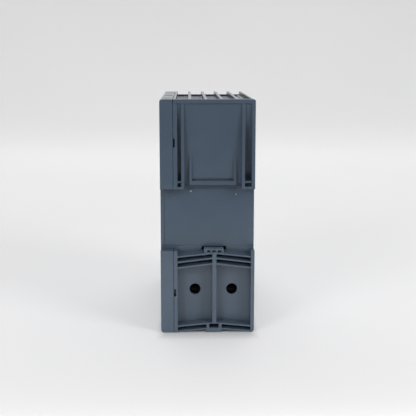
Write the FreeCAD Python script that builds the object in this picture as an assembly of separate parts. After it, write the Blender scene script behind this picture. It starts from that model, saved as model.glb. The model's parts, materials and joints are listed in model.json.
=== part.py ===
import FreeCAD, Part
import os

# Compact DIN-rail power supply, in millimetres.
# Frame: +Z up, front panel at -Y, rail side at +Y, origin under the middle of the base.

# ---------------------------------------------------------------- driving dimensions
WIDTH = 50.0
HEIGHT = 125.0
DEPTH = 120.0
HALF_W = WIDTH / 2
FRONT = -DEPTH / 2
REAR = DEPTH / 2
WALL = 2.0
FLOOR_WALL = 2.5
TOP_RADIUS = 1.2
BASE_RADIUS = 1.8

# Split between the shell and the side cover.
SHELL_X = 18.0
COVER_X = 18.2

# Rail side: a 35 mm top-hat rail sits in a recess between two blocks.
SEAT_DEPTH = 7.0
SEAT_STEP = 0.1
RECESS_LOW = 45.05
RECESS_HIGH = 78.0
SLOT_TOP = 80.6
LIP_DEPTH = 5.7
SEAT_LOW = 46.6
SEAT_HIGH = 77.6
INNER_REAR = REAR - SEAT_DEPTH - WALL

# Upper block: ramp panel between two ribs, deep slots outside them.
RAMP_X = (-18.0, 12.2)
SLOTS_X = ((13.84, 15.81), (-23.19, -19.64))
PANEL_TOP = 122.7
RAMP_START = 0.5
RAMP_END = 4.75
SLOT_FLOOR_END = 6.6
SLOT_BASE = 82.25
BAR_X = (-15.3, 9.6)
BAR_Z = (79.85, 81.95)
BAR_DEPTH = 3.0
BAR_CHEEK = 1.5
BAR_CHEEK_TOP = 95.5
BAND_TOP = 83.0
BAND_DEPTH = 5.3
# In the recess the shell's floor runs on under the cover, up to its side wall.
FLOOR_X = 22.9

# Snap windows on the parting line: (x inner edge, z low, z high).
SNAP_WINDOWS = ((17.14, 100.1, 104.75), (16.9, 20.06, 24.1))

# Lower block: bay with the rail latch.
BAY_X = (-23.07, 16.04)
SPINE_X = (-4.73, -2.53)
TONGUE_X = (-8.56, 1.88)
TONGUE_Z = (43.5, 46.0)
TONGUE_MARKS = ((-1.45, 0.18), (-4.37, -2.54), (-7.36, -5.46))
NOSE_TOP = 46.0
NOSE_DEPTH = 4.9
PLATE_DEPTH = 1.7
NOSE_POCKET_Z = 45.3
MARK_DEPTH = 2.4
MARK_Z = (44.05, 45.15)
WINDOW_X = (-10.12, 3.05)
WINDOW_Z = (43.2, 46.1)
TAB_X = (-7.57, 0.63)
TAB_Z = (0.1, 5.4)
DRIVER_X = (-5.95, -0.88)
DRIVER_Z = (2.51, 4.81)
LATCH_FACE = 0.15
# Leaves: height of the upper edge at the spine and at the side walls.
UPPER_LEAVES = ((44.0, 42.0), (41.25, 39.05), (38.25, 36.0))
LOWER_LEAVES = ((5.35, 3.85), (2.4, 1.05))
LATCH_SIDES = {
    "left": (SPINE_X[1], TONGUE_X[1], BAY_X[1]),
    "right": (SPINE_X[0], TONGUE_X[0], BAY_X[0]),
}
UPPER_LEAF_T = 0.85
LOWER_LEAF_T = 0.85
UPPER_LEAF_RISE = 0.8
LOWER_LEAF_RISE = 0.25
REAR_HOLES_X = (6.67, -13.25)
REAR_HOLES_Z = 22.4
REAR_HOLE_R = 3.0
# Two gate marks on the recess floor: (x, z).
GATE_MARKS = ((8.8, 76.1), (-15.3, 74.3))

# Top grille: ribs over open channels, one channel over each terminal.
RIB_W = 1.6
POLE_PITCH = 8.3
RIBS_X = (9.15, 0.85, -7.45, -15.75)
GRILLE_X = (-23.1, 17.9)
RIM_Z = 122.95
LIP_Z = 123.1
COVER_SLOTS_D = (16.0, 51.0, 88.0)
COVER_SLOT = 6.0
CROSS_BAR = 2.0
CROSS_PITCH = 4.0
CROSS_Z = (120.9, 122.6)

# Terminals: screw axis along Y, wire along Z, cage rises towards the front.
OUTPUT_X = (13.3, 5.0, -3.3, -11.6)
INPUT_X = (5.0, -3.3, -11.6)
OUTPUT_AXIS_Z = 111.5
INPUT_AXIS_Z = 11.0
BLOCK_Y = (-56.0, -40.0)
BLOCK_HALF_Z = 7.8
CELL_HALF_X = 3.0
CELL_Y = (-51.7, -41.5)
CAGE_HALF_X = 2.7
CAGE_Y = (-48.9, -41.9)
CAGE_FRONT_WALL = 1.6
CAGE_BACK_WALL = 1.0
CAGE_SIDE_WALL = 0.8
CAGE_HALF_Z = 4.0
SCREW_R = 1.5
SCREW_FIT = 0.05
SCREW_HEAD_R = 2.6
ACCESS_R = 2.4
BOARD_FRONT = (-39.6, -38.0)

# Boards and front fittings.
MAIN_BOARD_X = (-21.6, -20.0)
MAIN_BOARD_Y = (-37.0, 43.8)
MAIN_BOARD_Z = (4.0, 118.8)
LED_AT = (11.0, 96.0)
TRIM_AT = (-3.3, 96.0)
TRIM_R = 1.9
PANEL_X = (-22.0, 15.0)
PANEL_Z = (26.0, 90.0)
PANEL_T = 0.6

# Cover pillars (y, z) and board screws (y, z).
PILLARS = ((-53.5, 24.0), (-53.5, 86.5), (47.3, 49.0), (47.3, 75.0))
BOARD_SCREWS = ((-33.0, 52.0), (40.0, 52.0), (-33.0, 116.0), (40.0, 116.0))


# ---------------------------------------------------------------- helpers
def rear(depth):
    """Y of a point this deep under the rear plane."""
    return REAR - depth


def box(x, y, z):
    """Box from three (low, high) pairs, in any order."""
    x, y, z = sorted(x), sorted(y), sorted(z)
    return Part.makeBox(x[1] - x[0], y[1] - y[0], z[1] - z[0], FreeCAD.Vector(x[0], y[0], z[0]))


def rod_x(r, x, y, z):
    return Part.makeCylinder(r, x[1] - x[0], FreeCAD.Vector(x[0], y, z), FreeCAD.Vector(1, 0, 0))


def rod_y(r, x, y, z):
    return Part.makeCylinder(r, y[1] - y[0], FreeCAD.Vector(x, y[0], z), FreeCAD.Vector(0, 1, 0))


def rod_z(r, x, y, z):
    return Part.makeCylinder(r, z[1] - z[0], FreeCAD.Vector(x, y, z[0]), FreeCAD.Vector(0, 0, 1))


def face(points):
    wire = Part.makePolygon([FreeCAD.Vector(*p) for p in points + points[:1]])
    return Part.Face(wire)


def prism_x(points, x):
    """Prism along X over (y, z) points."""
    flat = face([(x[0], p[0], p[1]) for p in points])
    return flat.extrude(FreeCAD.Vector(x[1] - x[0], 0, 0))


def join(shapes):
    return shapes[0].multiFuse(shapes[1:]).removeSplitter()


def less(shape, tools):
    return shape.cut(Part.makeCompound(tools))


def rounded_y_edges(shape, low, high):
    """Round the block's four long edges that run front to back."""
    out = shape
    for radius, wanted in ((low, 0.0), (high, HEIGHT)):
        edges = []
        for e in out.Edges:
            a, b = e.Vertexes[0].Point, e.Vertexes[-1].Point
            along = abs(a.y - b.y) > DEPTH - 1
            if along and abs(a.z - wanted) < 1e-6:
                edges.append(e)
        out = out.makeFillet(radius, edges)
    return out


def save(name, shapes):
    """Write one node, with every solid checked."""
    solids = []
    for s in shapes:
        solids += s.Solids
    volume = sum(s.Volume for s in solids)
    good = all(s.isValid() for s in solids)
    print(f"{name:26s} solids {len(solids):2d}  volume {volume:9.1f} mm3  valid {good}")
    shape = solids[0] if len(solids) == 1 else Part.makeCompound(solids)
    shape.exportStep(os.path.join("parts", name + ".step"))


# ---------------------------------------------------------------- housing
def rail_side_cuts():
    """Everything taken from the rear of the block, shared by the shell and the cover."""
    wide = (-HALF_W - 1, HALF_W + 1)
    open_y = rear(-1)
    deep = rear(SEAT_DEPTH + SEAT_STEP)
    cuts = [
        box(wide, (rear(SEAT_DEPTH), open_y), (SEAT_LOW, SEAT_HIGH)),
        box(wide, (deep, open_y), (RECESS_LOW, SEAT_LOW)),
        box(wide, (deep, open_y), (SEAT_HIGH, RECESS_HIGH)),
        box(wide, (deep, rear(LIP_DEPTH)), (RECESS_HIGH, SLOT_TOP)),
        box(RAMP_X, (deep, open_y), (SEAT_HIGH, SLOT_TOP)),
        box(BAY_X, (deep, open_y), (-1, RECESS_LOW)),
        box(WINDOW_X, (INNER_REAR - 1, open_y), WINDOW_Z),
        prism_x(
            [
                (open_y, PANEL_TOP),
                (rear(RAMP_START), PANEL_TOP),
                (rear(RAMP_END), SLOT_TOP),
                (open_y, SLOT_TOP),
            ],
            RAMP_X,
        ),
    ]
    for x in SLOTS_X:
        cuts.append(
            prism_x(
                [
                    (open_y, PANEL_TOP),
                    (rear(RAMP_START), PANEL_TOP),
                    (rear(SLOT_FLOOR_END), SLOT_BASE),
                    (open_y, SLOT_BASE),
                ],
                x,
            )
        )
        cuts.append(box(x, (rear(0.5), open_y), (SLOT_BASE - 0.95, SLOT_BASE)))
        cuts.append(box(x, (rear(3.5), open_y), (SLOT_BASE - 2.95, SLOT_BASE - 0.95)))
    for x, low, high in SNAP_WINDOWS:
        cuts.append(box((x, COVER_X), (rear(4.2), open_y), (low, high)))
    for x, z in GATE_MARKS:
        cuts.append(rod_y(0.55, x, (rear(SEAT_DEPTH + 0.3), open_y), z))
    for x in REAR_HOLES_X:
        cuts.append(rod_y(REAR_HOLE_R, x, (INNER_REAR - 1, open_y), REAR_HOLES_Z))
    return cuts


def hook_bar():
    """Centre hook: a bar with two cheeks that run up into the ramp."""
    y = (rear(LIP_DEPTH), rear(BAR_DEPTH))
    left, right = BAR_X
    parts = [
        box(BAR_X, y, BAR_Z),
        box((left, left + BAR_CHEEK), y, (BAR_Z[0], BAR_CHEEK_TOP)),
        box((right - BAR_CHEEK, right), y, (BAR_Z[0], BAR_CHEEK_TOP)),
    ]
    return parts


def block():
    """Outer block with the rail side shaped, still solid inside."""
    outer = box((-HALF_W, HALF_W), (FRONT, REAR), (0, HEIGHT))
    outer = rounded_y_edges(outer, BASE_RADIUS, TOP_RADIUS)
    shaped = less(outer, rail_side_cuts())
    shaped = join([shaped] + hook_bar())
    band_x = (BAR_X[0] + BAR_CHEEK, BAR_X[1] - BAR_CHEEK)
    band = box(band_x, (rear(BAND_DEPTH), rear(-1)), (BAR_Z[1], BAND_TOP))
    return less(shaped, [band])


def marks():
    """Terminal signs, sunk flush into the front wall: + + - - above, L N and earth below."""
    y = (FRONT, FRONT + 0.35)
    out = []
    high = OUTPUT_AXIS_Z - 6.2
    for i, x in enumerate(OUTPUT_X):
        out.append(box((x - 1.2, x + 1.2), y, (high - 0.3, high + 0.3)))
        if i >= 2:
            out[-1] = join([out[-1], box((x - 0.3, x + 0.3), y, (high - 1.2, high + 1.2))])
    low = INPUT_AXIS_Z + 6.6
    x = INPUT_X[2]
    stem = box((x - 0.9, x - 0.4), y, (low - 1.3, low + 1.3))
    out.append(join([stem, box((x - 0.9, x + 0.9), y, (low - 1.3, low - 0.8))]))
    x = INPUT_X[1]
    slant = face(
        [
            (x - 1.0, y[0], low + 1.3),
            (x - 0.45, y[0], low + 1.3),
            (x + 1.0, y[0], low - 1.3),
            (x + 0.45, y[0], low - 1.3),
        ]
    ).extrude(FreeCAD.Vector(0, y[1] - y[0], 0))
    legs = [
        box((x - 1.0, x - 0.5), y, (low - 1.3, low + 1.3)),
        box((x + 0.5, x + 1.0), y, (low - 1.3, low + 1.3)),
    ]
    out.append(join([slant] + legs))
    x = INPUT_X[0]
    out.append(
        join(
            [
                box((x - 0.25, x + 0.25), y, (low, low + 1.3)),
                box((x - 1.3, x + 1.3), y, (low - 0.3, low + 0.2)),
            ]
        )
    )
    out.append(box((x - 0.85, x + 0.85), y, (low - 0.95, low - 0.5)))
    out.append(box((x - 0.4, x + 0.4), y, (low - 1.5, low - 1.1)))
    return out


def channels():
    """The open channels between the top ribs, as (low, high) in X."""
    edges = [GRILLE_X[1] - 1.25] + list(RIBS_X) + [GRILLE_X[0]]
    spans = []
    for i in range(5):
        high = edges[i] - (RIB_W / 2 if i else 0.0)
        low = edges[i + 1] + (RIB_W / 2 if i < 4 else 0.0)
        spans.append((low, high))
    return spans


def housing_shell(solid):
    inside = (-HALF_W + WALL, HALF_W)
    hollow = [
        box((SHELL_X, HALF_W + 1), (FRONT - 1, REAR + 1), (-1, HEIGHT + 1)),
        box(inside, (FRONT + WALL, INNER_REAR), (FLOOR_WALL, HEIGHT + 1)),
        box((GRILLE_X[0], HALF_W), (FRONT - 1, REAR + 1), (RIM_Z - 0.1, HEIGHT + 1)),
        box((GRILLE_X[0], HALF_W), (FRONT - 1, FRONT + WALL + 1), (121.0, HEIGHT + 1)),
        prism_x(
            [(INNER_REAR - 1, 84.65), (INNER_REAR, 84.65), (57.5, 122.9), (INNER_REAR - 1, 122.9)],
            inside,
        ),
    ]
    shell = less(solid, hollow)
    floor = box((SHELL_X - 0.1, FLOOR_X), (INNER_REAR, REAR), (RECESS_LOW + 0.1, RECESS_HIGH - 0.1))
    add = [floor.common(solid)]
    add += [rod_x(3.0, (-HALF_W + WALL - 0.5, SHELL_X), y, z) for y, z in PILLARS]
    add += [rod_x(3.0, (-HALF_W + WALL - 0.5, MAIN_BOARD_X[0]), y, z) for y, z in BOARD_SCREWS]
    shell = join([shell] + add)
    cuts = [rod_x(1.5, (8.0, SHELL_X + 1), y, z) for y, z in PILLARS]
    cuts += [rod_x(1.45, (-24.2, MAIN_BOARD_X[0] + 1), y, z) for y, z in BOARD_SCREWS]
    for x in OUTPUT_X:
        cuts.append(rod_y(ACCESS_R, x, (FRONT - 1, FRONT + WALL + 1), OUTPUT_AXIS_Z))
    for x in INPUT_X:
        cuts.append(rod_y(ACCESS_R, x, (FRONT - 1, FRONT + WALL + 1), INPUT_AXIS_Z))
        cuts.append(box((x - 3.35, x + 3.35), (-57.0, -40.5), (-1, FLOOR_WALL + 1)))
    cuts.append(rod_y(1.55, LED_AT[0], (FRONT - 1, FRONT + WALL + 1), LED_AT[1]))
    cuts.append(rod_y(TRIM_R + 0.3, TRIM_AT[0], (FRONT - 1, FRONT + WALL + 1), TRIM_AT[1]))
    cuts.append(box(PANEL_X, (FRONT - 1, FRONT + PANEL_T + 0.1), PANEL_Z))
    for low, high in channels():
        for y in ((-34.0, -10.0), (-6.0, 18.0), (22.0, 46.0)):
            cuts.append(box((low + 0.9, high - 0.9), y, (-1, FLOOR_WALL + 1)))
    cuts.append(box((-HALF_W - 1, -HALF_W + 0.25), (-25.0, 30.0), (38.0, 98.0)))
    cuts += marks()
    return less(shell, cuts)


def side_cover(solid):
    hollow = [
        box((-HALF_W - 1, COVER_X), (FRONT - 1, REAR + 1), (-1, HEIGHT + 1)),
        box((-HALF_W, HALF_W - WALL), (FRONT + WALL, INNER_REAR), (FLOOR_WALL, 122.0)),
        box((-HALF_W, HALF_W - WALL), (INNER_REAR - 1, REAR - WALL), (FLOOR_WALL, 43.0)),
        box((-HALF_W, HALF_W - WALL), (INNER_REAR - 1, REAR - WALL), (82.6, 122.0)),
    ]
    for d in COVER_SLOTS_D:
        y = (rear(d + COVER_SLOT / 2), rear(d - COVER_SLOT / 2))
        hollow.append(box((18.9, 23.5), y, (121.0, HEIGHT + 1)))
    cover = less(solid, hollow)
    bosses = [rod_x(4.4, (COVER_X, HALF_W - WALL + 0.5), y, z) for y, z in PILLARS]
    inner = box((COVER_X, HALF_W - 1), (FRONT + 1, INNER_REAR + 1), (1, HEIGHT - 1))
    bosses = [b.common(inner) for b in bosses]
    snaps = []
    for x, low, high in SNAP_WINDOWS:
        snaps.append(box((x + 0.3, COVER_X + 1.5), (rear(4.0), rear(3.0)), (low + 0.4, high - 0.4)))
    cover = join([cover] + bosses + snaps)
    cuts = [rod_x(1.7, (COVER_X - 1, HALF_W + 1), y, z) for y, z in PILLARS]
    cuts += [rod_x(3.1, (22.4, HALF_W + 1), y, z) for y, z in PILLARS]
    cuts.append(box((COVER_X - 1, HALF_W - WALL), (INNER_REAR - 0.1, REAR), (RECESS_LOW, RECESS_HIGH)))
    return less(cover, cuts)


def top_grille():
    """Snap-in top: ribs front to back, rim at the rear, cross bars underneath."""
    inner_y = (FRONT + WALL + 0.2, INNER_REAR - 0.2)
    inner_x = (-22.9, 17.9)
    parts = [
        box(GRILLE_X, (56.5, REAR), (RIM_Z, HEIGHT)),
        box(GRILLE_X, (FRONT, FRONT + WALL), (121.1, LIP_Z)),
        box((16.65, 17.9), (FRONT, REAR), (RIM_Z, HEIGHT)),
        box((16.65, 17.9), inner_y, (119.6, HEIGHT)),
        box((inner_x[0], inner_x[0] + 1.4), inner_y, (119.6, CROSS_Z[1])),
        box(inner_x, (inner_y[0], inner_y[0] + 1.0), (119.6, CROSS_Z[1])),
    ]
    for x in RIBS_X:
        half = RIB_W / 2
        parts.append(box((x - half, x + half), (FRONT, REAR), (RIM_Z, HEIGHT)))
        parts.append(box((x - half, x + half), inner_y, (121.2, HEIGHT)))
    y = -37.5
    while y < inner_y[1]:
        parts.append(box(inner_x, (y, min(y + CROSS_BAR, inner_y[1])), CROSS_Z))
        y += CROSS_PITCH
    return join(parts)


def front_panel():
    gap = 0.12
    plate = box(
        (PANEL_X[0] + gap, PANEL_X[1] - gap),
        (FRONT + 0.05, FRONT + PANEL_T + 0.1),
        (PANEL_Z[0] + gap, PANEL_Z[1] - gap),
    )
    return plate


def rating_label():
    return box((-HALF_W + 0.05, -HALF_W + 0.25), (-24.8, 29.8), (38.2, 97.8))


# ---------------------------------------------------------------- rail latch
def rail_latch():
    """Sliding core: spine, tongue with a nose over the rail's flange, pull tab with driver slot."""
    y = (rear(6.7), rear(LATCH_FACE))
    parts = [
        box(SPINE_X, y, (TAB_Z[1] - 1, TONGUE_Z[0] + 0.5)),
        box(TONGUE_X, (rear(LIP_DEPTH), rear(0.8)), TONGUE_Z),
        box(TONGUE_X, (rear(6.7), rear(0.8)), (TONGUE_Z[0], NOSE_POCKET_Z)),
        box(TAB_X, y, TAB_Z),
    ]
    for side in ("left", "right"):
        spine, edge = LATCH_SIDES[side][:2]
        high = UPPER_LEAVES[0][0]
        parts.append(leaf(spine, edge, high, top_leaf_height(side), UPPER_LEAF_T, UPPER_LEAF_RISE))
    core = join(parts)
    cuts = [box(DRIVER_X, (rear(8), rear(-1)), DRIVER_Z)]
    for x in TONGUE_MARKS:
        cuts.append(box(x, (rear(MARK_DEPTH), rear(-1)), MARK_Z))
    wide = (TONGUE_X[0] - 1, TONGUE_X[1] + 1)
    top = TONGUE_Z[1]
    cuts.append(prism_x([(rear(0.7), top - 0.4), (rear(0.7), top + 0.1), (rear(1.2), top + 0.1)], wide))
    cuts.append(box(wide, (rear(NOSE_DEPTH), rear(PLATE_DEPTH)), (NOSE_POCKET_Z, top + 1)))
    cuts.append(box(wide, (rear(8), rear(PLATE_DEPTH)), (NOSE_TOP, top + 1)))
    return less(core, cuts)


def top_leaf_height(side):
    """Height of the top leaf's upper edge where it leaves the tongue."""
    spine, edge, wall = LATCH_SIDES[side]
    high, low = UPPER_LEAVES[0]
    return high - (high - low) * (edge - spine) / (wall - spine)


def leaf(x_in, x_out, z_in, z_out, thick, rise):
    """One inclined beam from the core to a side wall, leaning up towards the pocket floor."""
    y = rear(0.2)
    flat = face(
        [(x_in, y, z_in), (x_out, y, z_out), (x_out, y, z_out - thick), (x_in, y, z_in - thick)]
    )
    return flat.extrude(FreeCAD.Vector(0, -6.6, rise))


def latch_leaves():
    """Four groups of beams by node name."""
    groups = {}
    for side, tab in (("left", TAB_X[1]), ("right", TAB_X[0])):
        spine, edge, wall = LATCH_SIDES[side]
        starts = [(edge, top_leaf_height(side), UPPER_LEAVES[0][1])]
        starts += [(spine, a, b) for a, b in UPPER_LEAVES[1:]]
        groups["upper_leaves_" + side] = [
            leaf(x, wall, a, b, UPPER_LEAF_T, UPPER_LEAF_RISE) for x, a, b in starts
        ]
        groups["lower_leaves_" + side] = [
            leaf(tab, wall, a, b, LOWER_LEAF_T, LOWER_LEAF_RISE) for a, b in LOWER_LEAVES
        ]
    return groups


# ---------------------------------------------------------------- terminals
def terminal_block(poles, axis_z, up):
    """Insulating block: a cell per pole, open where the wire enters (up = 1 or -1)."""
    half = POLE_PITCH / 2
    x = (min(poles) - half, max(poles) + half)
    body = box(x, BLOCK_Y, (axis_z - BLOCK_HALF_Z, axis_z + BLOCK_HALF_Z))
    cuts = []
    for p in poles:
        cell = (p - CELL_HALF_X, p + CELL_HALF_X)
        cuts.append(box(cell, CELL_Y, (axis_z - 5.0 * up, axis_z + (BLOCK_HALF_Z + 1) * up)))
        cuts.append(rod_y(SCREW_HEAD_R + 0.3, p, (BLOCK_Y[0] - 1, -52.9), axis_z))
        cuts.append(rod_y(SCREW_R + 0.4, p, (-53.5, CELL_Y[0] + 1), axis_z))
        slot = (p - 1.7, p + 1.7)
        cuts.append(box(slot, (-47.1, BLOCK_Y[1] + 1), (axis_z - 6.5 * up, axis_z - 4.5 * up)))
    return less(body, cuts)


def contact_bars(poles, axis_z, up):
    """Fixed bar inside each cage, with a tail through the terminal board."""
    out = []
    for p in poles:
        x = (p - 1.6, p + 1.6)
        bar = box(x, (-47.0, -46.0), (axis_z - 6.4 * up, axis_z + 5.5 * up))
        tail = box(x, (-47.0, -36.8), (axis_z - 6.4 * up, axis_z - 5.4 * up))
        out.append(join([bar, tail]))
    return out


def clamp_cage(p, axis_z):
    outer = box((p - CAGE_HALF_X, p + CAGE_HALF_X), CAGE_Y, (axis_z - CAGE_HALF_Z, axis_z + CAGE_HALF_Z))
    x = (p - CAGE_HALF_X + CAGE_SIDE_WALL, p + CAGE_HALF_X - CAGE_SIDE_WALL)
    y = (CAGE_Y[0] + CAGE_FRONT_WALL, CAGE_Y[1] - CAGE_BACK_WALL)
    wire_way = box(x, y, (axis_z - CAGE_HALF_Z - 1, axis_z + CAGE_HALF_Z + 1))
    thread = rod_y(SCREW_R + SCREW_FIT, p, (CAGE_Y[0] - 1, y[0] + 0.5), axis_z)
    return less(outer, [wire_way, thread])


def terminal_screw(p, axis_z):
    """Captive clamp screw with a cross recess."""
    head = rod_y(SCREW_HEAD_R, p, (-55.9, -53.2), axis_z)
    edge = [e for e in head.Edges if abs(e.BoundBox.YMax + 55.9) < 1e-6]
    head = head.makeChamfer(0.35, edge[:1])
    shank = rod_y(SCREW_R, p, (-53.3, -47.35), axis_z)
    cuts = [
        box((p - 1.9, p + 1.9), (-56.5, -54.6), (axis_z - 0.4, axis_z + 0.4)),
        box((p - 0.4, p + 0.4), (-56.5, -54.6), (axis_z - 1.9, axis_z + 1.9)),
    ]
    return less(join([head, shank]), cuts)


def front_board(z, poles, axis_z, up, more=()):
    board = box((-19.8, 17.3), BOARD_FRONT, z)
    cuts = []
    for p in poles:
        slot = (p - 1.7, p + 1.7)
        cuts.append(box(slot, (-41, -36), (axis_z - 6.5 * up, axis_z - 5.3 * up)))
    return less(board, cuts + list(more))


# ---------------------------------------------------------------- inside
def ring_x(r_out, r_in, x, y, z):
    return rod_x(r_out, x, y, z).cut(rod_x(r_in, (x[0] - 1, x[1] + 1), y, z))


def can_x(r, x, y, z):
    """Capacitor can standing on the board, with a rolled edge at its far end."""
    can = rod_x(r, x, y, z)
    edge = [e for e in can.Edges if e.BoundBox.XMin > x[1] - 0.01]
    return can.makeFillet(0.8, edge[:1])


def wound_ring(r_out, r_in, x, y, z, turns, wire, gap_deg):
    """Loops of wire around a ring that lies flat on the board."""
    out = []
    mid_r = (r_out + r_in) / 2
    loop_r = (r_out - r_in) / 2 + wire / 2 + 0.15
    height = (x[1] - x[0]) + 2 * wire + 0.2
    for i in range(turns):
        side = i % 2
        half = turns // 2
        angle = gap_deg + (180.0 - 2 * gap_deg) * (i // 2) / (half - 1) + 180.0 * side
        long_way = box((-height / 2, height / 2), (-loop_r - wire / 2, loop_r + wire / 2), (-wire / 2, wire / 2))
        short = box(
            (-height / 2 + wire, height / 2 - wire),
            (-loop_r + wire / 2, loop_r - wire / 2),
            (-wire, wire),
        )
        loop = long_way.cut(short)
        loop.translate(FreeCAD.Vector(0, mid_r, 0))
        loop.rotate(FreeCAD.Vector(0, 0, 0), FreeCAD.Vector(1, 0, 0), angle)
        loop.translate(FreeCAD.Vector((x[0] + x[1]) / 2, y, z))
        out.append(loop)
    return out


def transformer():
    """Ferrite core, bobbin and winding of the main transformer."""
    y, z, x = (3.0, 37.0), (52.0, 64.0), (-17.0, 13.0)
    core = box(x, y, z)
    core = less(core, [box((-12.0, 8.0), (8.5, 15.0), (50, 66)), box((-12.0, 8.0), (25.0, 31.5), (50, 66))])
    leg = box((-13, 9), (14.85, 25.15), (51.85, 64.15))
    tube = box((-11.9, 7.9), (13.9, 26.1), (50.9, 65.1))
    flanges = [box((a, a + 1.0), (8.7, 31.3), (46.0, 70.0)) for a in (-11.9, 6.9)]
    base = box((-20.0, -17.1), (8.7, 31.3), (44.0, 72.0))
    bobbin = less(join([tube] + flanges), [leg])
    winding = box((-10.8, 6.8), (9.4, 30.6), (46.8, 69.2))
    corners = [e for e in winding.Edges if e.BoundBox.XLength > 17]
    winding = winding.makeFillet(3.0, corners)
    winding = winding.cut(box((-12, 8), (13.8, 26.2), (50.8, 65.2)))
    return core, [bobbin, base], winding


def inside_parts():
    """Electronic parts, all clear of each other, by node name."""
    top = MAIN_BOARD_X[1]
    nodes = {}
    nodes["fuse"] = [
        rod_z(2.6, -16.6, -32.0, (24.0, 29.0)),
        rod_z(2.3, -16.6, -32.0, (29.0, 39.0)),
        rod_z(2.6, -16.6, -32.0, (39.0, 44.0)),
    ]
    nodes["x_capacitors"] = [
        box((top, -6.0), (-25.0, -17.0), (5.0, 23.0)),
        box((top, -6.0), (-15.5, -7.5), (5.0, 23.0)),
    ]
    nodes["surge_discs"] = [
        rod_y(6.5, -12.0, (-25.0, -21.0), 34.0),
        rod_y(5.5, -13.0, (-18.5, -14.5), 34.0),
    ]
    nodes["bridge_rectifier"] = [box((top + 2.5, -2.0), (-5.2, -1.6), (5.5, 25.5))]
    nodes["bulk_capacitors"] = [can_x(10.0, (top, 15.0), y, 16.5) for y in (10.5, 31.5)]
    nodes["line_choke_core"] = [ring_x(9.0, 4.8, (-18.6, -10.6), -0.5, 38.5)]
    nodes["line_choke_winding"] = wound_ring(9.0, 4.8, (-18.6, -10.6), -0.5, 38.5, 16, 0.8, 22.0)
    nodes["primary_heatsink"] = [
        join(
            [box((top + 0.4, 13.0), (12.5, 43.0), (30.0, 32.5))]
            + [box((13.0 - 2.0, 13.0), (12.5, 43.0), (32.5, 42.0))]
            + [box((-19.6, -17.6), (12.5, 43.0), (32.5, 36.0))]
        )
    ]
    nodes["primary_switches"] = [
        box((-14.0, 1.5), (15.0, 25.0), (32.5, 37.0)),
        box((-14.0, 1.5), (29.0, 39.0), (32.5, 37.0)),
    ]
    nodes["secondary_heatsink"] = [
        join(
            [box((top + 0.4, 13.0), (2.0, 42.0), (78.0, 80.5))]
            + [box((13.0 - 2.0, 13.0), (2.0, 42.0), (80.5, 92.0))]
            + [box((-19.6, -17.6), (2.0, 42.0), (80.5, 84.0))]
        )
    ]
    nodes["output_rectifiers"] = [
        box((-14.0, 1.5), (6.0, 16.0), (80.5, 85.0)),
        box((-14.0, 1.5), (26.0, 36.0), (80.5, 85.0)),
    ]
    core, bobbin, winding = transformer()
    nodes["transformer_core"] = [core]
    nodes["transformer_bobbin"] = bobbin
    nodes["transformer_winding"] = [winding]
    nodes["output_choke_core"] = [ring_x(9.0, 4.8, (-18.4, -10.4), 12.0, 101.5)]
    nodes["output_choke_winding"] = wound_ring(9.0, 4.8, (-18.4, -10.4), 12.0, 101.5, 16, 1.1, 14.0)
    nodes["output_capacitors"] = [
        can_x(5.0, (top, 5.0), y, z) for y in (-29.0, -17.5) for z in (91.0, 103.0)
    ]
    nodes["control_chips"] = [
        box((top, -17.6), (-24.0, -17.6), (57.0, 67.0)),
        box((top, -18.2), (-11.0, -7.0), (57.0, 62.0)),
        box((top, -16.6), (-30.0, -23.5), (73.0, 77.6)),
        box((top, -16.6), (-19.0, -12.5), (73.0, 77.6)),
    ]
    nodes["safety_capacitors"] = [
        rod_z(4.0, -15.5, -4.0, (70.0, 73.0)),
        rod_z(4.0, -15.5, -4.0, (84.0, 87.0)),
    ]
    return nodes


def fasteners():
    cover = []
    for y, z in PILLARS:
        head = rod_x(2.8, (22.45, 24.7), y, z)
        shank = rod_x(1.45, (10.0, 22.5), y, z)
        cross = [
            box((23.6, 25.5), (y - 1.8, y + 1.8), (z - 0.35, z + 0.35)),
            box((23.6, 25.5), (y - 0.35, y + 0.35), (z - 1.8, z + 1.8)),
        ]
        cover.append(less(join([head, shank]), cross))
    board = []
    for y, z in BOARD_SCREWS:
        head = rod_x(2.6, (-20.0, -18.3), y, z)
        shank = rod_x(1.4, (-24.1, -19.9), y, z)
        cross = [
            box((-19.2, -17.5), (y - 1.6, y + 1.6), (z - 0.3, z + 0.3)),
            box((-19.2, -17.5), (y - 0.3, y + 0.3), (z - 1.6, z + 1.6)),
        ]
        board.append(less(join([head, shank]), cross))
    return cover, board


# ---------------------------------------------------------------- write every node
os.makedirs("parts", exist_ok=True)

solid = block()
save("housing_shell", [housing_shell(solid)])
save("side_cover", [side_cover(solid)])
save("top_grille", [top_grille()])
save("front_panel", [front_panel()])
save("rating_label", [rating_label()])
save("terminal_marks", marks())

save("rail_latch", [rail_latch()])
for name, leaves in latch_leaves().items():
    save(name, leaves)

save("output_terminal_block", [terminal_block(OUTPUT_X, OUTPUT_AXIS_Z, 1)])
save("input_terminal_block", [terminal_block(INPUT_X, INPUT_AXIS_Z, -1)])
save("output_contact_bars", contact_bars(OUTPUT_X, OUTPUT_AXIS_Z, 1))
save("input_contact_bars", contact_bars(INPUT_X, INPUT_AXIS_Z, -1))
for side, poles, axis_z in (("output", OUTPUT_X, OUTPUT_AXIS_Z), ("input", INPUT_X, INPUT_AXIS_Z)):
    for i, p in enumerate(poles, 1):
        save(f"{side}_screw_{i}", [terminal_screw(p, axis_z)])
        save(f"{side}_cage_{i}", [clamp_cage(p, axis_z)])

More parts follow.
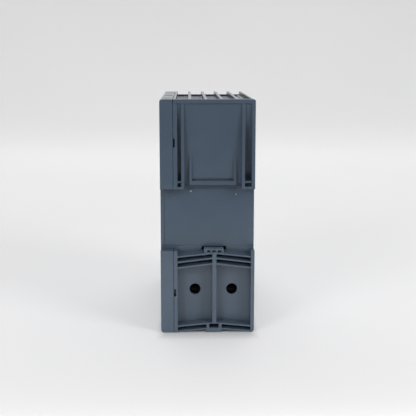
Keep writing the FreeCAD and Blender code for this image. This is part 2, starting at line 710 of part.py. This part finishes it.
save("output_board", [front_board((88.0, 119.2), OUTPUT_X, OUTPUT_AXIS_Z, 1)])
save("input_board", [front_board((3.5, 22.0), INPUT_X, INPUT_AXIS_Z, -1)])
main_board = box(MAIN_BOARD_X, MAIN_BOARD_Y, MAIN_BOARD_Z)
main_board = less(main_board, [rod_x(1.7, (-23, -19), y, z) for y, z in BOARD_SCREWS])
save("main_board", [main_board])
sheet = box((-22.4, -22.1), MAIN_BOARD_Y, MAIN_BOARD_Z)
sheet = less(sheet, [rod_x(3.3, (-23, -21), y, z) for y, z in BOARD_SCREWS])
save("insulation_sheet", [sheet])
save(
    "board_headers",
    [
        box((-20.0, -17.4), (-38.0, -35.4), (95.0, 112.0)),
        box((-20.0, -17.4), (-38.0, -35.4), (6.0, 20.0)),
    ],
)

lens = rod_y(1.5, LED_AT[0], (FRONT + 0.02, -45.0), LED_AT[1])
collar = rod_y(2.4, LED_AT[0], (-57.95, -57.0), LED_AT[1])
save("light_pipe", [join([lens, collar])])
led = rod_y(1.5, LED_AT[0], (-43.6, BOARD_FRONT[0]), LED_AT[1])
dome = Part.makeSphere(1.5, FreeCAD.Vector(LED_AT[0], -43.1, LED_AT[1]))
flange = rod_y(1.9, LED_AT[0], (-40.6, BOARD_FRONT[0]), LED_AT[1])
save("status_led", [join([led, dome, flange])])
x, z = TRIM_AT
body = box((x - 3.5, x + 3.5), (-44.6, BOARD_FRONT[0]), (z - 3.5, z + 3.5))
save("trimmer_body", [less(body, [rod_y(1.25, x, (-45.0, -42.0), z)])])
spindle = join([rod_y(TRIM_R, x, (-59.3, -45.0), z), rod_y(1.2, x, (-45.1, -42.4), z)])
slot = box((x - 2.0, x + 2.0), (-59.5, -58.4), (z - 0.4, z + 0.4))
save("trimmer_spindle", [less(spindle, [slot])])

for name, shapes in inside_parts().items():
    save(name, shapes)
cover_screws, board_screws = fasteners()
save("cover_screws", cover_screws)
save("board_screws", board_screws)
print("nodes", len([f for f in os.listdir("parts") if f.endswith(".step")]))
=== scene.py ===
import json
import math

import bmesh
import bpy
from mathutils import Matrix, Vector


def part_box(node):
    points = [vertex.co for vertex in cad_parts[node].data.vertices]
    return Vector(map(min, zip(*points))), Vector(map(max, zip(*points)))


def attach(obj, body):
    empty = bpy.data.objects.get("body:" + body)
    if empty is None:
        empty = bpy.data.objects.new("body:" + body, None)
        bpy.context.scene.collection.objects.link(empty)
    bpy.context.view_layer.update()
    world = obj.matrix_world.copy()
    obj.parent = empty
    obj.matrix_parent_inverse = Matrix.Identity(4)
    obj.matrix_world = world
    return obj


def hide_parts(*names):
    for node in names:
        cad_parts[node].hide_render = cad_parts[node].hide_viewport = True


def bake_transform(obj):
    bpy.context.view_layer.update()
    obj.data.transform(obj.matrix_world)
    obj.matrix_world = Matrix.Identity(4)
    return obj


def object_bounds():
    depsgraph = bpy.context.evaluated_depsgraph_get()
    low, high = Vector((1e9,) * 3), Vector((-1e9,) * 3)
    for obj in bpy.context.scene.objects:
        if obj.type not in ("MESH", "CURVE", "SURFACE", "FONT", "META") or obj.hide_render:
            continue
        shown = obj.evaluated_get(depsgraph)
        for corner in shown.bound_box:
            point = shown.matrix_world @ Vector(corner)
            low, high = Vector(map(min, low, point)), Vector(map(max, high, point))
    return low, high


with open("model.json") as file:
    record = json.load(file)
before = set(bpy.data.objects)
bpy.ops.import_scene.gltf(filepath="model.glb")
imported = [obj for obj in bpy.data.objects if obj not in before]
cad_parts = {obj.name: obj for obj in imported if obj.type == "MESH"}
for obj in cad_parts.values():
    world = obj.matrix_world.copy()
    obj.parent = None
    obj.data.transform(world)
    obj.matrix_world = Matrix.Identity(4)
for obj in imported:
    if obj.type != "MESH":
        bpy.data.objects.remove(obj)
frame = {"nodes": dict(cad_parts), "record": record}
CAD_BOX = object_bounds()
NODES = frame["nodes"]
MM = 0.001
scene = bpy.context.scene


# ---------------------------------------------------------------- node material helpers
class Graph:
    """Small helper for building one procedural material."""

    def __init__(self, name):
        self.mat = bpy.data.materials.new(name)
        self.mat.use_nodes = True
        self.tree = self.mat.node_tree
        self.shader = self.tree.nodes["Principled BSDF"]
        self.coord = self.add("ShaderNodeTexCoord")

    def add(self, kind, **values):
        node = self.tree.nodes.new(kind)
        for key, value in values.items():
            setattr(node, key, value)
        return node

    def link(self, a, b):
        self.tree.links.new(a, b)

    def where(self, scale=(1, 1, 1)):
        node = self.add("ShaderNodeMapping")
        self.link(self.coord.outputs["Object"], node.inputs["Vector"])
        node.inputs["Scale"].default_value = scale
        return node.outputs["Vector"]

    def noise(self, scale, detail=3.0, rough=0.5, stretch=(1, 1, 1)):
        node = self.add("ShaderNodeTexNoise")
        self.link(self.where(stretch), node.inputs["Vector"])
        node.inputs["Scale"].default_value = scale
        node.inputs["Detail"].default_value = detail
        node.inputs["Roughness"].default_value = rough
        return node.outputs["Fac"]

    def ramp(self, fac, stops):
        node = self.add("ShaderNodeValToRGB")
        self.link(fac, node.inputs["Fac"])
        line = node.color_ramp
        while len(line.elements) < len(stops):
            line.elements.new(0.5)
        for element, (pos, value) in zip(line.elements, stops):
            element.position = pos
            element.color = (*value, 1.0)
        return node.outputs["Color"]

    def spread(self, fac, low, high, start=0.3, end=0.7):
        node = self.add("ShaderNodeMapRange")
        self.link(fac, node.inputs["Value"])
        node.inputs["From Min"].default_value = start
        node.inputs["From Max"].default_value = end
        node.inputs["To Min"].default_value = low
        node.inputs["To Max"].default_value = high
        return node.outputs["Result"]

    def bump(self, height, strength, distance, normal=None):
        node = self.add("ShaderNodeBump")
        self.link(height, node.inputs["Height"])
        node.inputs["Strength"].default_value = strength
        node.inputs["Distance"].default_value = distance
        if normal is not None:
            self.link(normal, node.inputs["Normal"])
        return node.outputs["Normal"]

    def soft_edge(self, radius):
        node = self.add("ShaderNodeBevel", samples=6)
        node.inputs["Radius"].default_value = radius
        return node.outputs["Normal"]

    def set(self, **values):
        for key, value in values.items():
            self.shader.inputs[key.replace("_", " ")].default_value = value

    def plug(self, output, name):
        self.link(output, self.shader.inputs[name])


def shade(colour, factor):
    return tuple(c * factor for c in colour)


def moulded(name, colour, rough=0.5, grain=0.35, edge=0.2, vary=0.07):
    """Injection-moulded plastic: spark-eroded grain, faint flow streaks and softened edges."""
    g = Graph(name)
    cloud = g.noise(45.0, 5.0, 0.55)
    streak = g.noise(18.0, 3.0, 0.6, (6.0, 1.0, 0.6))
    mix = g.add("ShaderNodeMath", operation="MULTIPLY_ADD")
    g.link(streak, mix.inputs[0])
    mix.inputs[1].default_value = 0.4
    g.link(cloud, mix.inputs[2])
    base = g.ramp(
        mix.outputs[0],
        [(0.45, shade(colour, 1 - vary)), (0.7, colour), (0.95, shade(colour, 1 + vary))],
    )
    g.plug(base, "Base Color")
    g.plug(g.spread(g.noise(160.0, 2.0), rough - 0.03, rough + 0.03, 0.15, 0.85), "Roughness")
    fine = g.noise(3600.0, 2.0, 0.6)
    coarse = g.noise(900.0, 2.0, 0.5)
    normal = g.soft_edge(edge * MM) if edge else None
    normal = g.bump(coarse, grain * 0.5, 0.04 * MM, normal)
    g.plug(g.bump(fine, grain, 0.03 * MM, normal), "Normal")
    return g.mat


def metal(name, colour, rough=0.3, brushed=(1, 1, 1), edge=0.15):
    """Plated or rolled metal with fine drawing lines and mottled tone."""
    g = Graph(name)
    lines = g.noise(700.0, 3.0, 0.6, brushed)
    cloud = g.noise(120.0, 4.0)
    g.plug(
        g.ramp(cloud, [(0.3, shade(colour, 0.86)), (0.55, colour), (0.8, shade(colour, 1.08))]),
        "Base Color",
    )
    g.plug(g.spread(lines, rough - 0.08, rough + 0.12), "Roughness")
    g.plug(g.bump(lines, 0.25, 0.03 * MM, g.soft_edge(edge * MM)), "Normal")
    g.set(Metallic=1.0)
    return g.mat


def speckled(name, colour, other, rough=0.5, scale=900.0, bump=0.3):
    """Sintered, coated or pressed material with a visible speckle."""
    g = Graph(name)
    spots = g.noise(scale, 2.0, 0.7)
    g.plug(g.ramp(spots, [(0.4, colour), (0.62, other)]), "Base Color")
    g.plug(g.spread(g.noise(300.0), rough - 0.08, rough + 0.08), "Roughness")
    g.plug(g.bump(spots, bump, 0.05 * MM, g.soft_edge(0.2 * MM)), "Normal")
    return g.mat


def laminate(name):
    """Solder mask over woven glass, with tracks showing as slightly lighter lanes."""
    g = Graph(name)
    lanes = g.add("ShaderNodeTexBrick", offset=0.5)
    g.link(g.where(), lanes.inputs["Vector"])
    lanes.inputs["Scale"].default_value = 140.0
    lanes.inputs["Mortar Size"].default_value = 0.06
    lanes.inputs["Color1"].default_value = (0.012, 0.10, 0.035, 1)
    lanes.inputs["Color2"].default_value = (0.016, 0.13, 0.045, 1)
    lanes.inputs["Mortar"].default_value = (0.006, 0.06, 0.02, 1)
    g.plug(lanes.outputs["Color"], "Base Color")
    g.plug(g.spread(g.noise(500.0), 0.28, 0.42), "Roughness")
    g.plug(g.bump(lanes.outputs["Fac"], 0.3, 0.04 * MM, g.soft_edge(0.15 * MM)), "Normal")
    return g.mat


def clear(name):
    """Polished clear rod with faint flow ripples."""
    g = Graph(name)
    g.plug(g.ramp(g.noise(200.0), [(0.3, (0.82, 0.9, 0.86)), (0.7, (0.9, 0.95, 0.93))]), "Base Color")
    g.plug(g.spread(g.noise(400.0), 0.04, 0.12), "Roughness")
    g.plug(g.bump(g.noise(150.0), 0.1, 0.03 * MM), "Normal")
    g.set(Transmission_Weight=0.85, IOR=1.49)
    return g.mat


# ---------------------------------------------------------------- materials by record slot
HOUSING = (0.072, 0.104, 0.146)
MATERIALS = {
    "housing_plastic": moulded("housing_plastic", HOUSING, 0.32, 0.15, 0.22),
    "panel_plastic": moulded("panel_plastic", (0.55, 0.57, 0.58), 0.42, 0.2, 0.15, 0.03),
    "label_film": moulded("label_film", (0.7, 0.7, 0.68), 0.38, 0.1, 0.05, 0.03),
    "mark_ink": moulded("mark_ink", (0.75, 0.76, 0.76), 0.5, 0.3, 0.0, 0.04),
    "terminal_plastic": moulded("terminal_plastic", (0.018, 0.02, 0.022), 0.45, 0.4, 0.15, 0.12),
    "tinned_brass": metal("tinned_brass", (0.78, 0.74, 0.66), 0.28, (1, 1, 8)),
    "zinc_steel": metal("zinc_steel", (0.66, 0.68, 0.7), 0.3, (1, 6, 1)),
    "heatsink_metal": metal("heatsink_metal", (0.72, 0.73, 0.74), 0.36, (1, 8, 1)),
    "copper_wire": metal("copper_wire", (0.72, 0.28, 0.1), 0.22, (1, 1, 1), 0.2),
    "board_laminate": laminate("board_laminate"),
    "insulation_film": speckled("insulation_film", (0.62, 0.58, 0.42), (0.7, 0.66, 0.5), 0.6),
    "clear_plastic": clear("clear_plastic"),
    "led_green": moulded("led_green", (0.05, 0.45, 0.1), 0.12, 0.05, 0.1, 0.05),
    "trimmer_blue": moulded("trimmer_blue", (0.02, 0.1, 0.42), 0.35, 0.2, 0.15, 0.05),
    "spindle_plastic": moulded("spindle_plastic", (0.72, 0.71, 0.67), 0.45, 0.2, 0.12, 0.04),
    "fuse_ceramic": speckled("fuse_ceramic", (0.72, 0.69, 0.62), (0.8, 0.78, 0.72), 0.25, 500.0, 0.1),
    "film_cap_yellow": moulded("film_cap_yellow", (0.68, 0.47, 0.04), 0.32, 0.15, 0.3, 0.05),
    "disc_coating": speckled("disc_coating", (0.03, 0.12, 0.32), (0.04, 0.16, 0.4), 0.4, 500.0),
    "disc_blue": speckled("disc_blue", (0.04, 0.16, 0.42), (0.06, 0.2, 0.48), 0.4, 500.0),
    "epoxy_black": moulded("epoxy_black", (0.014, 0.014, 0.016), 0.5, 0.4, 0.15, 0.15),
    "can_sleeve": moulded("can_sleeve", (0.02, 0.022, 0.035), 0.28, 0.08, 0.2, 0.1),
    "ferrite": speckled("ferrite", (0.018, 0.018, 0.02), (0.04, 0.04, 0.044), 0.55),
    "powder_core": speckled("powder_core", (0.5, 0.42, 0.05), (0.58, 0.5, 0.08), 0.4),
    "tape_yellow": moulded("tape_yellow", (0.7, 0.5, 0.05), 0.3, 0.1, 0.2, 0.05),
}
SLOT_OF = {s["node"]: s["material_slot"] for s in frame["record"]["subparts"]}
for name, node in NODES.items():
    material = MATERIALS[SLOT_OF[name]]
    if not node.material_slots:
        node.data.materials.append(material)
    for place in node.material_slots:
        place.material = material


def finished(name, mesh, form, material):
    """Writes the form to its mesh and links the new piece, which takes the material passed in."""
    bmesh.ops.recalc_face_normals(form, faces=form.faces)
    form.to_mesh(mesh)
    form.free()
    obj = bpy.data.objects.new(name, mesh)
    scene.collection.objects.link(obj)
    mesh.materials.append(material)
    return obj


# ---------------------------------------------------------------- latch spring leaves
REAR = CAD_BOX[1].y
# Heights of each leaf's upper edge in millimetres: (at the core, at the side wall).
UPPER = ((44.0, 42.0), (41.25, 39.05), (38.25, 36.0))
LOWER = ((5.35, 3.85), (2.4, 1.05))
# A leaf is this thick, and its floor edge is raised by this much over its rear edge.
LEAF_T = 0.85 * MM
UPPER_RISE = 0.8 * MM
LOWER_RISE = 0.25 * MM
ROOT_LENGTH = 0.9 * MM
ROOT_SWELL = 0.2 * MM
LEAF_STEPS = 28


def beam(name, x_in, x_out, z_in, z_out, rise, replaced):
    """One leaf: an inclined strip with a small root radius at both ends."""
    length = abs(x_out - x_in)
    y_floor, y_rear = (corner.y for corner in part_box(replaced))
    mesh = bpy.data.meshes.new(name)
    form = bmesh.new()
    rows = []
    for i in range(LEAF_STEPS + 1):
        t = 0.5 - 0.5 * math.cos(math.pi * i / LEAF_STEPS)
        x = x_in + (x_out - x_in) * t
        z = z_in + (z_out - z_in) * t
        near = min(t, 1 - t) * length
        swell = ROOT_SWELL * (1 - near / ROOT_LENGTH) ** 2 if near < ROOT_LENGTH else 0.0
        row = []
        for y, lift in ((y_rear, 0.0), (y_floor, rise)):
            row.append(form.verts.new((x, y, z + lift)))
            row.append(form.verts.new((x, y, z + lift - LEAF_T - swell)))
        rows.append(row)
    for a, b in zip(rows, rows[1:]):
        form.faces.new((a[0], b[0], b[2], a[2]))
        form.faces.new((a[1], a[3], b[3], b[1]))
        form.faces.new((a[0], a[1], b[1], b[0]))
        form.faces.new((a[2], b[2], b[3], a[3]))
    form.faces.new((rows[0][0], rows[0][2], rows[0][3], rows[0][1]))
    form.faces.new((rows[-1][0], rows[-1][1], rows[-1][3], rows[-1][2]))
    obj = finished(name, mesh, form, MATERIALS["housing_plastic"])
    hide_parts(replaced)
    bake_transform(obj)


for side, inner, outer in (("left", 0, 1), ("right", 1, 0)):
    upper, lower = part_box(f"upper_leaves_{side}"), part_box(f"lower_leaves_{side}")
    spine, wall, tab = upper[inner].x, upper[outer].x, lower[inner].x
    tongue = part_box("rail_latch")[outer].x
    for number, (high, low) in enumerate(UPPER, 1):
        start, top = spine, high
        if number == 1:
            share = (tongue - spine) / (wall - spine)
            start, top = tongue, high - (high - low) * share
        beam(
            f"leaf_{side}_{number}", start, wall, top * MM, low * MM, UPPER_RISE,
            f"upper_leaves_{side}",
        )
    for number, (high, low) in enumerate(LOWER, 4):
        beam(
            f"leaf_{side}_{number}", tab, wall, high * MM, low * MM, LOWER_RISE,
            f"lower_leaves_{side}",
        )


# ---------------------------------------------------------------- gate vestiges
RECESS_FLOOR = REAR - 7.0 * MM
# Rings from the dimple's floor to the torn face: (share of the radius, height in millimetres).
# Heights are over the recess floor, and the pit in the torn face has its own.
VESTIGE_PROFILE = (
    (1.0, -0.28), (1.0, -0.1), (0.86, -0.03), (0.6, -0.01), (0.45, -0.05), (0.25, -0.12),
)
VESTIGE_PIT = -0.14
# Rings with a share between these have a ragged outline, and the others are round.
TORN_SHARES = (0.3, 1.0)
AROUND = 20


def gate_vestige(name, x, z, radius):
    """Broken-off sprue in its dimple on the recess floor: a low cone with a torn rim and pit."""
    mesh = bpy.data.meshes.new(name)
    form = bmesh.new()
    rings = []
    for share, height in VESTIGE_PROFILE:
        ring = []
        for i in range(AROUND):
            a = 2 * math.pi * i / AROUND
            torn = 1 + 0.07 * math.sin(3 * a + 1.0) + 0.04 * math.sin(7 * a)
            r = radius * share * (torn if TORN_SHARES[0] < share < TORN_SHARES[1] else 1.0)
            y = RECESS_FLOOR + height * MM
            ring.append(form.verts.new((x + r * math.cos(a), y, z + r * math.sin(a))))
        rings.append(ring)
    pit = form.verts.new((x, RECESS_FLOOR + VESTIGE_PIT * MM, z))
    for a, b in zip(rings, rings[1:]):
        for i in range(AROUND):
            j = (i + 1) % AROUND
            form.faces.new((a[i], a[j], b[j], b[i]))
    for i in range(AROUND):
        form.faces.new((rings[-1][i], rings[-1][(i + 1) % AROUND], pit))
    form.faces.new(rings[0])
    for one in form.faces:
        one.smooth = len(one.verts) < AROUND
    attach(finished(name, mesh, form, VESTIGE), "housing")


# The vestige plastic is coloured a much lighter grey than the housing, so each vestige shows as a
# light spot on the recess floor.
VESTIGE = moulded("vestige_light_grey", (0.36, 0.4, 0.43), 0.55, 0.5, 0.05, 0.2)
gate_vestige("gate_vestige_1", 8.8 * MM, 76.1 * MM, 0.52 * MM)
gate_vestige("gate_vestige_2", -15.3 * MM, 74.3 * MM, 0.4 * MM)


# ---------------------------------------------------------------- stage, light and camera
# The sheet in metres: it lies flat from its near edge, curves up behind the object, and ends
# at its top.
NEAR_EDGE = 0.2
CURVE_START = -0.9
CURVE_RADIUS = 0.7
CURVE_STEPS = 24
SHEET_TOP = 3.0
SHEET_HALF_WIDTH = 3.0
# Emission strength of the sheet: a painted glow that stands in for soft fill light.
PAINTED_FILL_GLOW = 0.32
# By axis, the painted glow fades in between these distances from the object's middle, in metres, so
# the sheet under the object is left as a painted contact shadow.
PAINTED_SHADOW_FADE = (("X", 0.020, 0.028), ("Y", 0.056, 0.074))


def sweep():
    """Floor that curves up into a backdrop behind the object."""
    mesh = bpy.data.meshes.new("sweep")
    profile = [(NEAR_EDGE, 0.0), (0.0, 0.0), (CURVE_START, 0.0)]
    for i in range(1, CURVE_STEPS + 1):
        a = math.pi / 2 * i / CURVE_STEPS
        profile.append((CURVE_START - CURVE_RADIUS * math.sin(a), CURVE_RADIUS * (1 - math.cos(a))))
    profile.append((CURVE_START - CURVE_RADIUS, SHEET_TOP))
    points = []
    for y, z in profile:
        points += [(-SHEET_HALF_WIDTH, y, z), (SHEET_HALF_WIDTH, y, z)]
    faces = [(2 * i, 2 * i + 1, 2 * i + 3, 2 * i + 2) for i in range(len(profile) - 1)]
    mesh.from_pydata(points, [], faces)
    mesh.polygons.foreach_set("use_smooth", [True] * len(faces))
    obj = bpy.data.objects.new("sweep", mesh)
    scene.collection.objects.link(obj)
    g = Graph("paper_painted_glow")
    g.plug(
        g.ramp(g.noise(6.0, 4.0), [(0.3, (0.70, 0.695, 0.695)), (0.7, (0.72, 0.715, 0.715))]),
        "Base Color",
    )
    g.plug(g.bump(g.noise(900.0, 2.0), 0.06, 0.1 * MM), "Normal")
    # The sheet glows a little as painted fill light, and the glow is faded out under the object to
    # paint a contact shadow there.
    split = g.add("ShaderNodeSeparateXYZ")
    g.link(g.coord.outputs["Object"], split.inputs[0])
    glow_outside_painted_shadow = g.add("ShaderNodeMath", operation="MAXIMUM")
    for i, (axis, near, far) in enumerate(PAINTED_SHADOW_FADE):
        away = g.add("ShaderNodeMath", operation="ABSOLUTE")
        g.link(split.outputs[axis], away.inputs[0])
        g.link(g.spread(away.outputs[0], 0.0, PAINTED_FILL_GLOW, near, far), glow_outside_painted_shadow.inputs[i])
    g.plug(glow_outside_painted_shadow.outputs[0], "Emission Strength")
    g.set(Roughness=0.75, Emission_Color=(0.98, 0.985, 1.0, 1.0))
    mesh.materials.append(g.mat)


def area(name, place, target, size, power, colour=(1, 1, 1)):
    data = bpy.data.lights.new(name, "AREA")
    data.shape = "RECTANGLE"
    data.size, data.size_y = size
    data.energy = power
    data.color = colour
    obj = bpy.data.objects.new(name, data)
    obj.location = place
    obj.rotation_euler = (Vector(target) - Vector(place)).to_track_quat("-Z", "Y").to_euler()
    scene.collection.objects.link(obj)


sweep()
# Each light: name, place, target, size in metres, power in watts, colour.
area("side_right", (-0.84, 0.75, 0.5), (0, 0, 0.06), (0.5, 0.6), 5.5)
area("side_left", (0.63, 0.95, 0.5), (0, 0, 0.06), (0.45, 0.6), 4.4)
area("strip", (0, 0.7, 1.2), (0, 0, 0.05), (0.35, 1.2), 1.5)
area("zenith", (0, 0.05, 1.2), (0, 0.05, 0), (0.5, 0.5), 1.1)
area("roof_glow", (0, -1.25, 0.95), (0, 0, 0.1), (2.2, 0.7), 4.6)
area("rim", (0, -1.0, 0.42), (0, 0, 0.12), (1.6, 0.2), 0.95)
area("low_bounce", (0, REAR + 0.13, 0.005), (0, 0, 0.02), (0.26, 0.008), 0.02, (1, 0.88, 0.82))
world = bpy.data.worlds.new("world")
scene.world = world
world.use_nodes = True
sky = world.node_tree.nodes["Background"].inputs
sky["Color"].default_value = (0.97, 0.98, 1.0, 1)
sky["Strength"].default_value = 0.15

# The camera looks at the rear from slightly above: angles in radians, lens in millimetres.
PITCH, YAW = 0.1665, 0.0232
DISTANCE, ASIDE, HEIGHT = 454.9 * MM, 10.35 * MM, 144.56 * MM
camera = bpy.data.cameras.new("camera")
camera.sensor_width = 36.0
camera.lens = 75.77
camera.clip_start, camera.clip_end = 0.01, 20.0
shooter = bpy.data.objects.new("camera", camera)
shooter.location = (ASIDE, REAR + DISTANCE, HEIGHT)
level = math.cos(PITCH)
look = Vector((-math.sin(YAW) * level, -math.cos(YAW) * level, -math.sin(PITCH)))
shooter.rotation_euler = look.to_track_quat("-Z", "Y").to_euler()
scene.collection.objects.link(shooter)
scene.camera = shooter
scene.view_settings.view_transform = "Standard"
scene.view_settings.look = "None"
